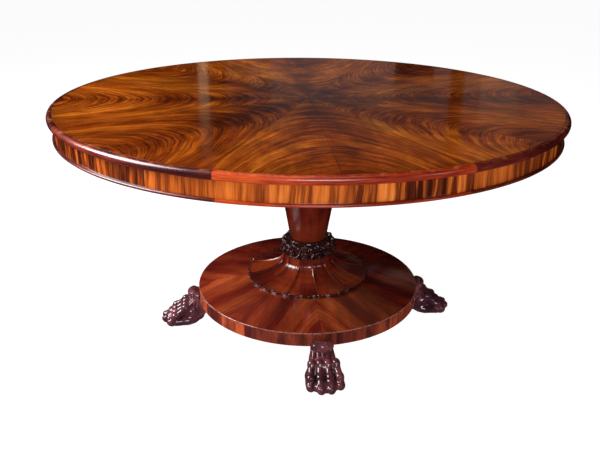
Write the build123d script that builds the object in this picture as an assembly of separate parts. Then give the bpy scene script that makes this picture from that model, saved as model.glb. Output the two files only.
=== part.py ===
"""Round tilt-top pedestal table: veneered top and frieze, column, petal base, platform and paw feet.

The origin is on the floor under the column. +Z is up. The top tips about an axis parallel to Y.
The feet stand on the diagonals. Lengths are millimetres and angles are degrees.
"""

from build123d import *
import math
import os

os.makedirs("parts", exist_ok=True)

# Overall sizes
TABLE_HEIGHT = 742.0
TOP_RADIUS = 760.0
PLATFORM_RADIUS = 362.0
FOOT_ANGLES = (45.0, 135.0, 225.0, 315.0)

# Top: rim moulding, veneer, boards
RIM_THICKNESS = 22.0
RIM_WIDTH = 16.0
RIM_LENGTHS = 8
RIM_FIRST_JOINT = 22.5
RIM_QUIRK = 1.2
FIELD_RADIUS = TOP_RADIUS - RIM_WIDTH
BOARD_BOTTOM = TABLE_HEIGHT - RIM_THICKNESS
VENEER_THICKNESS = 1.5
BOARD_TOP = TABLE_HEIGHT - VENEER_THICKNESS
BOARD_COUNT = 4
LEAF_PAIRS = 8
LEAF_FIRST_JOINT = -1.4
GLUE_LINE = 0.01
CENTRE_EYE = 0.5

# Frieze
FRIEZE_RADIUS = 742.5
FRIEZE_SKIN = 1.0
FRIEZE_DEPTH = 44.0
FRIEZE_BOTTOM = BOARD_BOTTOM - FRIEZE_DEPTH
FRIEZE_VENEERS = 8
FRIEZE_FIRST_JOINT = 8.5
BRICK_RADIUS = FRIEZE_RADIUS - FRIEZE_SKIN
BRICK_WIDTH = 36.0
BRICK_COUNT = 24
BEAD_THICKNESS = 8.0
BEAD_OVERHANG = 7.5
BEAD_WIDTH = 24.0
BEAD_LENGTHS = 4
GLUE_BLOCK_SIZE = 24.0
GLUE_BLOCK_ARC = 6.5
GLUE_BLOCK_COUNT = 12

# Bearers, block and hinge
BLOCK_LENGTH = 350.0
BLOCK_WIDTH = 300.0
BLOCK_THICKNESS = 62.0
BLOCK_BOTTOM = BOARD_BOTTOM - BLOCK_THICKNESS
PIVOT_X = -185.0
PIVOT_DROP = 25.0
PIVOT_Z = BOARD_BOTTOM - PIVOT_DROP
PIVOT_RADIUS = 9.0
PIVOT_RUNNING_GAP = 0.05
PIVOT_DEPTH = 55.0
PIVOT_HEAD_RADIUS = 14.0
PIVOT_HEAD = 3.0
BEARER_THICKNESS = 45.0
BEARER_DEPTH = 50.0
BEARER_LENGTH = 1200.0
BEARER_TAPER = 140.0
BEARER_END_DEPTH = 22.0
SIDE_GAP = 0.3
BEARER_INNER = BLOCK_WIDTH / 2 + SIDE_GAP
BEARER_OUTER = BEARER_INNER + BEARER_THICKNESS
SCREW_STATIONS = (-400.0, -250.0, 0.0, 250.0, 400.0)
SCREW_RADIUS = 3.0
SCREW_HEAD_RADIUS = 6.0
SCREW_HEAD = 4.0
SCREW_SINK = 14.0
SCREW_BITE = 13.0

# Thumb bolts with their plates and bushes
BOLT_X = 130.0
BOLT_Y = 105.0
BOLT_SIDES = {"left": 1, "right": -1}
BOLT_RADIUS = 5.0
BOLT_CLEARANCE = 0.5
BOLT_TRAVEL = 17.0
BOLT_TIP_DROP = 1.0
STOP_GAP = 0.3
PLATE_RADIUS = 20.0
PLATE_THICKNESS = 3.0
BOLT_COLLAR_RADIUS = 8.0
BOLT_COLLAR = 4.0
COLLAR_POCKET_RADIUS = 9.0
COLLAR_POCKET_DEPTH = 24.0
HUB_RADIUS = 9.0
HUB_LENGTH = 16.0
WING_SPAN = 42.0
WING_HEIGHT = 24.0
WING_THICKNESS = 5.0
BUSH_RADIUS = 9.0
BUSH_LENGTH = 19.0
BUSH_DEPTH = 18.0

# Column, collar and petal base
COLUMN_BOTTOM = 287.0
COLUMN_FOOT_RADIUS = 59.0
COLUMN_HEAD_RADIUS = 117.0
COLUMN_HEAD_Z = 622.0
CAPITAL_RADIUS = 131.0
NECK_HEIGHT = 12.0
NECK_BULGE = 7.0
COVE_HEIGHT = 15.0
COVE_STEP = 2.0
COVE_DEPTH = 3.0
TENON_RADIUS = 40.0
TENON_GAP = 1.0
COLLAR_BOTTOM = 236.0
COLLAR_FOOT_RADIUS = 80.0
COLLAR_BELLY_RADIUS = 88.0
COLLAR_TOP_RADIUS = 70.0
COLLAR_LOBES = 12
LOBE_RADIUS = 16.0
LOBE_PROUD = 4.0
PETAL_COUNT = 12
PETAL_TURN = 18.5
PETAL_RADIUS = 199.0
PETAL_EDGE = 5.5
SCALLOPS_PER_PETAL = 3
SCALLOP_RADIUS = 13.0
SCALLOP_DEPTH = 3.0
RIB_WIDTH = 5.0
RIB_HEIGHT = 2.2
RIB_KNOB_RADIUS = 5.0
RIB_KNOB_RISE = 1.0
CUT_MARGIN = 1.0

# Platform
PLATFORM_BOTTOM = 89.0
PLATFORM_RIM_TOP = 132.0
PLATFORM_RISE = 0.16
PLATFORM_SKIN = 2.0
PLATFORM_EDGE_SKIN = 3.0
PLATFORM_FLAT_RADIUS = 185.0
PLATFORM_LEAF_PAIRS = 4
EDGE_STRIPS_PER_NODE = 6
EDGE_NODES = 4
EDGE_FIRST_JOINT = 7.0

# Tie rod
ROD_RADIUS = 8.0
ROD_HOLE_GAP = 0.2
ROD_BOTTOM = 92.0
ROD_TOP = 420.0
WASHER_RADIUS = 28.0
WASHER_THICKNESS = 3.0
NUT_FLATS = 24.0
NUT_THICKNESS = 13.0
ROD_POCKET_RADIUS = 30.0
ROD_POCKET_DEPTH = 20.0

# Paw feet, measured outward from the table's axis
PAW_HEEL = 350.0
PAW_INNER = 335.0
ANKLE_WIDTH = 68.0
PLATFORM_EDGE_GAP = 1.0
SCROLL_TOP = 134.0
SCROLL_OUTER = 404.0
SCROLL_SHOULDER = 8.0
SOLE_SLOPE = 12.0
SOLE_BACK = 4.0
TOE_RADIUS = 14.0
TOE_OFFSETS = (-42.0, -14.0, 14.0, 42.0)
TOE_TIPS = (467.0, 484.0, 484.0, 467.0)
TOE_SPLAY = 0.8
KNUCKLE_REACH = 416.0
KNUCKLE_HEIGHT = 62.0
PAD_HEIGHT = 34.0
PAD_TAPER = 12.0
DOWEL_RADIUS = 6.0
DOWEL_REACH = 350.0
DOWEL_OFFSET = 16.0
DOWEL_HALF_LENGTH = 30.0


def turned(outline, start=0.0, sweep=360.0):
    """Turn a closed outline of radius and height about the table's axis."""
    face = Plane.XZ * make_face(outline)
    return Rotation(0, 0, start) * revolve(face, Axis.Z, sweep)


def turned_polygon(points, start=0.0, sweep=360.0):
    return turned(Polyline(*points, close=True), start, sweep)


def cylinder_between(radius, low, high, x=0.0, y=0.0):
    """An upright cylinder from height low to height high."""
    return Pos(x, y, low) * Cylinder(radius, high - low, align=(Align.CENTER, Align.CENTER, Align.MIN))


def block_between(low, high):
    """A box from its lowest corner to its highest."""
    size = [b - a for a, b in zip(low, high)]
    centre = [(a + b) / 2 for a, b in zip(low, high)]
    return Pos(*centre) * Box(*size)


def around(make, count, first=0.0):
    """The pieces that make(start, sweep) gives for equal steps round the axis."""
    step = 360.0 / count
    return [make(first + i * step, step) for i in range(count)]


def save(name, shape):
    """Write one node; a list becomes a group of separate solids."""
    if isinstance(shape, list):
        solids = [solid for piece in shape for solid in piece.solids()]
        shape = Compound(children=solids)
    export_step(shape, f"parts/{name}.step")


def save_numbered(stem, shapes):
    for number, shape in enumerate(shapes, 1):
        save(f"{stem}_{number}", shape)


# Top


def rim_length(start, sweep):
    """One length of the bullnose lip, with a fine quirk where it meets the veneer."""
    low, high = BOARD_BOTTOM, TABLE_HEIGHT
    nose = TOP_RADIUS - RIM_THICKNESS / 2
    outline = [
        Line((FIELD_RADIUS, high - RIM_QUIRK), (FIELD_RADIUS, low)),
        Line((FIELD_RADIUS, low), (nose, low)),
        ThreePointArc((nose, low), (TOP_RADIUS, (low + high) / 2), (nose, high)),
        Line((nose, high), (FIELD_RADIUS + RIM_QUIRK, high)),
        Line((FIELD_RADIUS + RIM_QUIRK, high), (FIELD_RADIUS, high - RIM_QUIRK)),
    ]
    return turned(outline, start, sweep)


def slab_arc(inner, outer, low, high, start, sweep):
    """A flat arc-shaped piece between two radii and two heights."""
    return turned_polygon([(inner, low), (outer, low), (outer, high), (inner, high)], start, sweep)


def leaf_pair(start, sweep):
    """Two mirrored leaves of veneer, meeting on a glue line."""
    half = sweep / 2
    cut = half - GLUE_LINE
    return [
        slab_arc(CENTRE_EYE, FIELD_RADIUS, BOARD_TOP, TABLE_HEIGHT, start + i * half, cut) for i in (0, 1)
    ]


def bolt_places():
    return [(BOLT_X, side * BOLT_Y) for side in BOLT_SIDES.values()]


def screw_places():
    middle = (BEARER_INNER + BEARER_OUTER) / 2
    return [(x, side * middle) for x in SCREW_STATIONS for side in (-1, 1)]


def bearer_screw(x, y):
    head_bottom = BOARD_BOTTOM - BEARER_DEPTH + SCREW_SINK
    head = cylinder_between(SCREW_HEAD_RADIUS, head_bottom, head_bottom + SCREW_HEAD, x, y)
    shank = cylinder_between(SCREW_RADIUS, head_bottom + SCREW_HEAD, BOARD_BOTTOM + SCREW_BITE, x, y)
    return head + shank


def boards():
    """Edge-jointed planks running along Y, with the bushes' sockets and the screws' holes."""
    disc = cylinder_between(FIELD_RADIUS, BOARD_BOTTOM, BOARD_TOP)
    for x, y in bolt_places():
        disc -= cylinder_between(BUSH_RADIUS, BOARD_BOTTOM, BOARD_BOTTOM + BUSH_LENGTH, x, y)
    for x, y in screw_places():
        disc -= cylinder_between(SCREW_RADIUS, BOARD_BOTTOM, BOARD_BOTTOM + SCREW_BITE, x, y)
    width = 2 * FIELD_RADIUS / BOARD_COUNT
    planks = []
    for i in range(BOARD_COUNT):
        x = -FIELD_RADIUS + i * width
        plank = block_between((x, -FIELD_RADIUS, BOARD_BOTTOM), (x + width, FIELD_RADIUS, BOARD_TOP))
        planks.append(disc & plank)
    return planks


# Frieze


def frieze_brick(start, sweep):
    return slab_arc(
        BRICK_RADIUS - BRICK_WIDTH, BRICK_RADIUS, FRIEZE_BOTTOM, BOARD_BOTTOM, start, sweep - GLUE_LINE
    )


def frieze_veneer(start, sweep):
    return slab_arc(BRICK_RADIUS, FRIEZE_RADIUS, FRIEZE_BOTTOM, BOARD_BOTTOM, start, sweep)


def frieze_bead(start, sweep):
    """A flat strip under the frieze, its outer edge rounded over."""
    low, high = FRIEZE_BOTTOM - BEAD_THICKNESS, FRIEZE_BOTTOM
    outer = FRIEZE_RADIUS + BEAD_OVERHANG
    nose = outer - BEAD_THICKNESS / 2
    outline = [
        Polyline((nose, high), (outer - BEAD_WIDTH, high), (outer - BEAD_WIDTH, low), (nose, low)),
        ThreePointArc((nose, low), (outer, (low + high) / 2), (nose, high)),
    ]
    return turned(outline, start, sweep - GLUE_LINE)


def glue_block(start, sweep):
    """A chamfered block in the corner between the boards and a frieze brick."""
    outer = BRICK_RADIUS - BRICK_WIDTH
    inner = outer - GLUE_BLOCK_SIZE
    low = BOARD_BOTTOM - GLUE_BLOCK_SIZE
    corner = GLUE_BLOCK_SIZE / 3
    points = [
        (inner, BOARD_BOTTOM),
        (inner, BOARD_BOTTOM - corner),
        (outer - corner, low),
        (outer, low),
        (outer, BOARD_BOTTOM),
    ]
    return turned_polygon(points, start + (sweep - GLUE_BLOCK_ARC) / 2, GLUE_BLOCK_ARC)


# Bearers, block and hinge


def pivot_hole(radius, inner, outer):
    """A cylinder on the hinge axis from one Y to another."""
    length = outer - inner
    return Pos(PIVOT_X, (inner + outer) / 2, PIVOT_Z) * Rotation(90, 0, 0) * Cylinder(radius, length)


def bearer(side):
    """A long batten with tapered ends, bored for its pivot pin and its screws."""
    half, low = BEARER_LENGTH / 2, BOARD_BOTTOM - BEARER_DEPTH
    end = BOARD_BOTTOM - BEARER_END_DEPTH
    outline = Polyline(
        (-half, BOARD_BOTTOM),
        (-half, end),
        (-half + BEARER_TAPER, low),
        (half - BEARER_TAPER, low),
        (half, end),
        (half, BOARD_BOTTOM),
        close=True,
    )
    inner, outer = sorted((side * BEARER_INNER, side * BEARER_OUTER))
    batten = Pos(0, outer, 0) * extrude(Plane.XZ * make_face(outline), BEARER_THICKNESS)
    batten -= pivot_hole(PIVOT_RADIUS + PIVOT_RUNNING_GAP, inner, outer)
    for x, y in screw_places():
        if y * side > 0:
            batten -= cylinder_between(SCREW_HEAD_RADIUS, low, low + SCREW_SINK + SCREW_HEAD, x, y)
            batten -= cylinder_between(SCREW_RADIUS, low, BOARD_BOTTOM, x, y)
    return batten


def pivot_pin(side):
    """A pin fast in the block and running in its bearer, with a flat head outside."""
    inner = BLOCK_WIDTH / 2 - PIVOT_DEPTH
    outer = BEARER_OUTER + SIDE_GAP
    shank = pivot_hole(PIVOT_RADIUS, *sorted((side * inner, side * outer)))
    head = pivot_hole(PIVOT_HEAD_RADIUS, *sorted((side * outer, side * (outer + PIVOT_HEAD))))
    return shank + head


def top_block():
    """The block on the column's head; its hinge edge is rounded about the pivot."""
    half_length, half_width = BLOCK_LENGTH / 2, BLOCK_WIDTH / 2
    swing = PIVOT_DROP - SIDE_GAP
    slant = swing * math.sqrt(0.5)
    hinge_face = PIVOT_X - swing
    outline = [
        Polyline(
            (PIVOT_X, PIVOT_Z + swing),
            (PIVOT_X + PIVOT_RADIUS, BOARD_BOTTOM),
            (half_length, BOARD_BOTTOM),
            (half_length, BLOCK_BOTTOM),
            (hinge_face, BLOCK_BOTTOM),
            (hinge_face, PIVOT_Z),
        ),
        ThreePointArc(
            (hinge_face, PIVOT_Z), (PIVOT_X - slant, PIVOT_Z + slant), (PIVOT_X, PIVOT_Z + swing)
        ),
    ]
    block = Pos(0, half_width, 0) * extrude(Plane.XZ * make_face(outline), BLOCK_WIDTH)
    block -= cylinder_between(TENON_RADIUS, BLOCK_BOTTOM, BOARD_BOTTOM)
    for side in (-1, 1):
        inner = side * (half_width - PIVOT_DEPTH)
        block -= pivot_hole(PIVOT_RADIUS, *sorted((inner, side * half_width)))
    for x, y in bolt_places():
        pocket_top = BLOCK_BOTTOM + COLLAR_POCKET_DEPTH
        block -= cylinder_between(COLLAR_POCKET_RADIUS, BLOCK_BOTTOM, pocket_top, x, y)
        block -= cylinder_between(BOLT_RADIUS + BOLT_CLEARANCE, BLOCK_BOTTOM, BOARD_BOTTOM, x, y)
    return block


# Thumb bolts


def bolt_plate(x, y):
    low = BLOCK_BOTTOM - PLATE_THICKNESS
    plate = cylinder_between(PLATE_RADIUS, low, BLOCK_BOTTOM, x, y)
    return plate - cylinder_between(BOLT_RADIUS + BOLT_CLEARANCE, low, BLOCK_BOTTOM, x, y)


def bolt_bush(x, y):
    """A blind brass socket let into the underside of the boards."""
    bush = cylinder_between(BUSH_RADIUS, BOARD_BOTTOM, BOARD_BOTTOM + BUSH_LENGTH, x, y)
    return bush - cylinder_between(
        BOLT_RADIUS + BOLT_CLEARANCE, BOARD_BOTTOM, BOARD_BOTTOM + BUSH_DEPTH, x, y
    )


def thumb_bolt(x, y):
    """A captive bolt, drawn released: its collar rests on the plate and its wings hang below."""
    hub_top = BLOCK_BOTTOM - PLATE_THICKNESS - BOLT_TRAVEL - STOP_GAP
    hub_low = hub_top - HUB_LENGTH
    shank = cylinder_between(BOLT_RADIUS, hub_top, BOARD_BOTTOM - BOLT_TIP_DROP, x, y)
    collar_low = BLOCK_BOTTOM + STOP_GAP
    collar = cylinder_between(BOLT_COLLAR_RADIUS, collar_low, collar_low + BOLT_COLLAR, x, y)
    hub = cylinder_between(HUB_RADIUS, hub_low, hub_top, x, y)
    wing_z = hub_low - WING_HEIGHT / 4
    wings = Plane.XZ * Ellipse(WING_SPAN / 2, WING_HEIGHT / 2)
    wings = Pos(x, y, wing_z) * extrude(wings, WING_THICKNESS / 2, both=True)
    return shank + collar + hub + wings


# Pedestal


def column():
    """An inverted taper with a small capital, and a tenon into the block."""
    cove_low = COLUMN_HEAD_Z + NECK_HEIGHT
    cove_high = cove_low + COVE_HEIGHT
    cove = COLUMN_HEAD_RADIUS + COVE_STEP
    bulge = (COLUMN_HEAD_RADIUS + NECK_BULGE, COLUMN_HEAD_Z + NECK_HEIGHT / 2)
    hollow = (cove + COVE_DEPTH, cove_low + COVE_HEIGHT * 2 / 3)
    outline = [
        Line((0, COLUMN_BOTTOM), (COLUMN_FOOT_RADIUS, COLUMN_BOTTOM)),
        Line((COLUMN_FOOT_RADIUS, COLUMN_BOTTOM), (COLUMN_HEAD_RADIUS, COLUMN_HEAD_Z)),
        ThreePointArc((COLUMN_HEAD_RADIUS, COLUMN_HEAD_Z), bulge, (cove, cove_low)),
        ThreePointArc((cove, cove_low), hollow, (CAPITAL_RADIUS, cove_high)),
        Line((CAPITAL_RADIUS, cove_high), (CAPITAL_RADIUS, BLOCK_BOTTOM)),
        Line((CAPITAL_RADIUS, BLOCK_BOTTOM), (TENON_RADIUS, BLOCK_BOTTOM)),
        Line((TENON_RADIUS, BLOCK_BOTTOM), (TENON_RADIUS, BOARD_BOTTOM - TENON_GAP)),
        Line((TENON_RADIUS, BOARD_BOTTOM - TENON_GAP), (0, BOARD_BOTTOM - TENON_GAP)),
        Line((0, BOARD_BOTTOM - TENON_GAP), (0, COLUMN_BOTTOM)),
    ]
    return turned(outline) - cylinder_between(ROD_RADIUS + ROD_HOLE_GAP, COLUMN_BOTTOM, ROD_TOP)


def leaf_collar():
    """The carved wreath under the column, as a belly with a ring of lobes."""
    belly_z = (COLLAR_BOTTOM + COLUMN_BOTTOM) / 2
    outline = [
        Line((0, COLLAR_BOTTOM), (COLLAR_FOOT_RADIUS, COLLAR_BOTTOM)),
        ThreePointArc(
            (COLLAR_FOOT_RADIUS, COLLAR_BOTTOM),
            (COLLAR_BELLY_RADIUS, belly_z),
            (COLLAR_TOP_RADIUS, COLUMN_BOTTOM),
        ),
        Line((COLLAR_TOP_RADIUS, COLUMN_BOTTOM), (0, COLUMN_BOTTOM)),
        Line((0, COLUMN_BOTTOM), (0, COLLAR_BOTTOM)),
    ]
    wreath = turned(outline)
    lobe_centre = COLLAR_BELLY_RADIUS + LOBE_PROUD - LOBE_RADIUS
    for i in range(COLLAR_LOBES):
        lobe = Pos(lobe_centre, 0, belly_z) * Sphere(LOBE_RADIUS)
        wreath += Rotation(0, 0, i * 360.0 / COLLAR_LOBES) * lobe
    return wreath - cylinder_between(ROD_RADIUS + ROD_HOLE_GAP, COLLAR_BOTTOM, COLUMN_BOTTOM)


def platform_surface(radius):
    """Height of the gently coned platform top at a radius."""
    return PLATFORM_RIM_TOP + PLATFORM_RISE * (PLATFORM_RADIUS - radius)


def petal_flare(lift=0.0):
    """The concave flare from the collar out to the petals' edge."""
    edge_top = platform_surface(PLATFORM_FLAT_RADIUS) + PETAL_EDGE
    return Spline(
        (COLLAR_FOOT_RADIUS, COLLAR_BOTTOM),
        (84 + lift, 213 + lift / 2),
        (100 + lift / 2, 195 + lift),
        (125, 181.5 + lift),
        (160, 171 + lift),
        (PETAL_RADIUS, edge_top + lift),
    )


def petal_rib(angle):
    """A thin raised rib between two petals, ending in a small knob."""
    upper = petal_flare(RIB_HEIGHT)
    low = platform_surface(PLATFORM_FLAT_RADIUS)
    start, end = upper @ 0, upper @ 1
    outline = [
        upper,
        Polyline((end.X, end.Y), (end.X, low), (start.X, low), (start.X, start.Y)),
    ]
    rib = extrude(Plane.XZ * make_face(outline), RIB_WIDTH / 2, both=True)
    knob_place = PETAL_RADIUS - RIB_KNOB_RADIUS / 2
    knob = cylinder_between(RIB_KNOB_RADIUS, low, end.Y + RIB_KNOB_RISE, knob_place)
    return Rotation(0, 0, angle) * (rib + knob)


def petal_base():
    """Twelve shallow petals in one carved piece, with a scalloped edge."""
    low = platform_surface(PLATFORM_FLAT_RADIUS)
    flare = petal_flare()
    outer = flare @ 1
    under = Polyline(
        (outer.X, outer.Y), (outer.X, low), (0, low), (0, COLLAR_BOTTOM), (COLLAR_FOOT_RADIUS, COLLAR_BOTTOM)
    )
    base = turned([flare, under])
    scallops = PETAL_COUNT * SCALLOPS_PER_PETAL
    reach = PETAL_RADIUS + SCALLOP_RADIUS - SCALLOP_DEPTH
    for i in range(scallops):
        angle = PETAL_TURN + (i + 0.5) * 360.0 / scallops
        bite = cylinder_between(SCALLOP_RADIUS, low - CUT_MARGIN, COLLAR_BOTTOM, reach)
        base -= Rotation(0, 0, angle) * bite
    for i in range(PETAL_COUNT):
        base += petal_rib(PETAL_TURN + i * 360.0 / PETAL_COUNT)
    return base - cylinder_between(ROD_RADIUS + ROD_HOLE_GAP, low, COLLAR_BOTTOM)


# Platform


def foot_places():
    """Each dowel's centre, two to a foot."""
    places = []
    for angle in FOOT_ANGLES:
        turn = math.radians(angle)
        for offset in (-DOWEL_OFFSET, DOWEL_OFFSET):
            x = DOWEL_REACH * math.cos(turn) - offset * math.sin(turn)
            y = DOWEL_REACH * math.sin(turn) + offset * math.cos(turn)
            places.append((x, y))
    return places


def dowel(x, y):
    return cylinder_between(
        DOWEL_RADIUS, PLATFORM_BOTTOM - DOWEL_HALF_LENGTH, PLATFORM_BOTTOM + DOWEL_HALF_LENGTH, x, y
    )


def platform_core():
    """The solid platform: a shallow cone on top, a pocket for the rod's nut below."""
    rim = PLATFORM_RADIUS - PLATFORM_EDGE_SKIN
    flat_z = platform_surface(PLATFORM_FLAT_RADIUS)
    pocket_top = PLATFORM_BOTTOM + ROD_POCKET_DEPTH
    core = turned_polygon([
        (ROD_RADIUS + ROD_HOLE_GAP, pocket_top),
        (ROD_POCKET_RADIUS, pocket_top),
        (ROD_POCKET_RADIUS, PLATFORM_BOTTOM),
        (rim, PLATFORM_BOTTOM),
        (rim, platform_surface(rim) - PLATFORM_SKIN),
        (PLATFORM_FLAT_RADIUS, flat_z - PLATFORM_SKIN),
        (PLATFORM_FLAT_RADIUS, flat_z),
        (ROD_RADIUS + ROD_HOLE_GAP, flat_z),
    ])
    for x, y in foot_places():
        core -= dowel(x, y)
    return core


def platform_leaf_pair(start, sweep):
    """Two mirrored leaves of the platform's top veneer."""
    half = sweep / 2
    inner_z = platform_surface(PLATFORM_FLAT_RADIUS)
    section = [
        (PLATFORM_FLAT_RADIUS, inner_z - PLATFORM_SKIN),
        (PLATFORM_RADIUS, PLATFORM_RIM_TOP - PLATFORM_SKIN),
        (PLATFORM_RADIUS, PLATFORM_RIM_TOP),
        (PLATFORM_FLAT_RADIUS, inner_z),
    ]
    return [turned_polygon(section, start + i * half, half - GLUE_LINE) for i in (0, 1)]


def platform_edge(start, sweep):
    """A run of crossbanded strips round the platform's edge."""
    step = sweep / EDGE_STRIPS_PER_NODE
    inner = PLATFORM_RADIUS - PLATFORM_EDGE_SKIN
    section = [
        (inner, PLATFORM_BOTTOM),
        (PLATFORM_RADIUS, PLATFORM_BOTTOM),
        (PLATFORM_RADIUS, PLATFORM_RIM_TOP - PLATFORM_SKIN),
        (inner, platform_surface(inner) - PLATFORM_SKIN),
    ]
    strips = range(EDGE_STRIPS_PER_NODE)
    return [turned_polygon(section, start + i * step, step - GLUE_LINE) for i in strips]


# Tie rod


def tie_rod():
    return cylinder_between(ROD_RADIUS, ROD_BOTTOM, ROD_TOP)


def rod_washer():
    top = PLATFORM_BOTTOM + ROD_POCKET_DEPTH
    washer = cylinder_between(WASHER_RADIUS, top - WASHER_THICKNESS, top)
    return washer - cylinder_between(ROD_RADIUS, top - WASHER_THICKNESS, top)


def rod_nut():
    top = PLATFORM_BOTTOM + ROD_POCKET_DEPTH - WASHER_THICKNESS
    hexagon = RegularPolygon(NUT_FLATS / 2, 6, major_radius=False)
    nut = Pos(0, 0, top - NUT_THICKNESS) * extrude(hexagon, NUT_THICKNESS)
    return nut - cylinder_between(ROD_RADIUS, top - NUT_THICKNESS, top)


# Feet


def paw_side():
    """The leg and paw in profile: back scroll, notch, knuckle, toes, heel."""
    wall = PLATFORM_RADIUS + PLATFORM_EDGE_GAP
    return [
        Line((PAW_INNER, PLATFORM_BOTTOM), (wall, PLATFORM_BOTTOM)),
        Line((wall, PLATFORM_BOTTOM), (wall, SCROLL_TOP - SCROLL_SHOULDER)),
        ThreePointArc((wall, SCROLL_TOP - SCROLL_SHOULDER), (376, SCROLL_TOP), (394, 127)),
        ThreePointArc((394, 127), (SCROLL_OUTER, 112), (392, 97)),
        Line((392, 97), (387, 90)),
        ThreePointArc((387, 90), (408, 85), (427, 66)),
        Line((427, 66), (446, 52)),
        Line((446, 52), (462, 30)),
        Line((462, 30), (462, 6)),
        Line((462, 6), (PAW_HEEL + SOLE_SLOPE, 0)),
        Line((PAW_HEEL + SOLE_SLOPE, 0), (PAW_HEEL, 10)),
        Line((PAW_HEEL, 10), (PAW_INNER, 60)),
        Line((PAW_INNER, 60), (PAW_INNER, PLATFORM_BOTTOM)),
    ]


def paw_pad():
    """The broad sole, widest behind the outer toes."""
    heel = PAW_HEEL + SOLE_BACK
    outline = [
        Line((heel, 22), (heel, -22)),
        Spline((heel, -22), (378, -40), (402, -51), (432, -55), (456, -50)),
        Line((456, -50), (456, 50)),
        Spline((456, 50), (432, 55), (402, 51), (378, 40), (heel, 22)),
    ]
    return extrude(make_face(outline), PAD_HEIGHT, taper=PAD_TAPER)


def toe(offset, tip):
    """A rounded toe, from its knuckle down to its claw end."""
    low = Vector(tip - TOE_RADIUS, offset, TOE_RADIUS)
    high = Vector(KNUCKLE_REACH, offset * TOE_SPLAY, KNUCKLE_HEIGHT)
    length = (high - low).length
    slant = TOE_RADIUS * math.sqrt(0.5)
    outline = [
        Line((0, -TOE_RADIUS), (0, length + TOE_RADIUS)),
        ThreePointArc((0, length + TOE_RADIUS), (slant, length + slant), (TOE_RADIUS, length)),
        Line((TOE_RADIUS, length), (TOE_RADIUS, 0)),
        ThreePointArc((TOE_RADIUS, 0), (slant, -slant), (0, -TOE_RADIUS)),
    ]
    return Plane(low, z_dir=high - low) * turned(outline)


def paw_foot(angle):
    """One lion-paw foot, bored for its two dowels."""
    leg = extrude(Plane.XZ * make_face(paw_side()), ANKLE_WIDTH / 2, both=True)
    foot = leg + paw_pad()
    for offset, tip in zip(TOE_OFFSETS, TOE_TIPS):
        foot += toe(offset, tip)
    foot = Rotation(0, 0, angle) * foot
    for x, y in foot_places():
        foot -= dowel(x, y)
    return foot


def save_top():
    save_numbered("top_board", boards())
    save_numbered("top_veneer", around(leaf_pair, LEAF_PAIRS, LEAF_FIRST_JOINT))
    save_numbered("rim_moulding", around(rim_length, RIM_LENGTHS, RIM_FIRST_JOINT))
    save("frieze_bricks", around(frieze_brick, BRICK_COUNT))
    save_numbered("frieze_veneer", around(frieze_veneer, FRIEZE_VENEERS, FRIEZE_FIRST_JOINT))
    save("frieze_bead", around(frieze_bead, BEAD_LENGTHS, RIM_FIRST_JOINT))
    save("glue_blocks", around(glue_block, GLUE_BLOCK_COUNT))
    save("bearer_screws", [bearer_screw(x, y) for x, y in screw_places()])
    save("bolt_bushes", [bolt_bush(x, y) for x, y in bolt_places()])
    for name, side in BOLT_SIDES.items():
        save(f"bearer_{name}", bearer(side))


def save_pedestal():
    save("top_block", top_block())
    save("pivot_pins", [pivot_pin(side) for side in BOLT_SIDES.values()])
    save("bolt_plates", [bolt_plate(x, y) for x, y in bolt_places()])
    for name, side in BOLT_SIDES.items():
        save(f"thumb_bolt_{name}", thumb_bolt(BOLT_X, side * BOLT_Y))
    save("column", column())
    save("leaf_collar", leaf_collar())
    save("petal_base", petal_base())
    save("platform_core", platform_core())
    save_numbered("platform_veneer", around(platform_leaf_pair, PLATFORM_LEAF_PAIRS))
    save_numbered("platform_edge", around(platform_edge, EDGE_NODES, EDGE_FIRST_JOINT))
    save("tie_rod", tie_rod())
    save("tie_rod_nut", [rod_washer(), rod_nut()])
    save_numbered("paw_foot", [paw_foot(angle) for angle in FOOT_ANGLES])
    save("foot_dowels", [dowel(x, y) for x, y in foot_places()])


save_top()
save_pedestal()
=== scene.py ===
"""Looks of the round tilt-top pedestal table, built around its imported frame.

Every object is in metres in the frame's axes: the floor is z = 0 and the column stands on the origin.
Outlines and carving are written in millimetres and turned into metres when a mesh is made.
"""

import itertools
import math

import bpy
import numpy as np
from mathutils import Matrix, Vector


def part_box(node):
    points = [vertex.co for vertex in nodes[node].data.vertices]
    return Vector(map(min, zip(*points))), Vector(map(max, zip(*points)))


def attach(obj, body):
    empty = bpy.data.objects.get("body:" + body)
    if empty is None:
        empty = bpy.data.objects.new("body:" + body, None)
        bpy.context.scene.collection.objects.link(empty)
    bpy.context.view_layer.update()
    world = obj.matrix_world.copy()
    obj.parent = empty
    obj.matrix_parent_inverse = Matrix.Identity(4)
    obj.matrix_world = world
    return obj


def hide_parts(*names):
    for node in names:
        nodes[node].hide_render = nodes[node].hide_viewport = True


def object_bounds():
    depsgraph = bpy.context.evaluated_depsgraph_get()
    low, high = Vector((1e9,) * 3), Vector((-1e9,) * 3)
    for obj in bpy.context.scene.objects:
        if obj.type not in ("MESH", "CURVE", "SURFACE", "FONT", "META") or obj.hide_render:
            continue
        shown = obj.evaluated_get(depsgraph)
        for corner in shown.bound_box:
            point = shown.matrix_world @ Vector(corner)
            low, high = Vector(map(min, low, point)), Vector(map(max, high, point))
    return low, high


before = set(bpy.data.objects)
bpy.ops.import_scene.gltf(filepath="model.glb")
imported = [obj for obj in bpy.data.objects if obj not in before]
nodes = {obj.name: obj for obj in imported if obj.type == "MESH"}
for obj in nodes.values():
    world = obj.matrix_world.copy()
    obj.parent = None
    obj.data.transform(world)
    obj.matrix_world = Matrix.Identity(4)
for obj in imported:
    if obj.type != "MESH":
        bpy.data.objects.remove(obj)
cad_low, cad_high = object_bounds()
MM = 0.001

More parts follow.
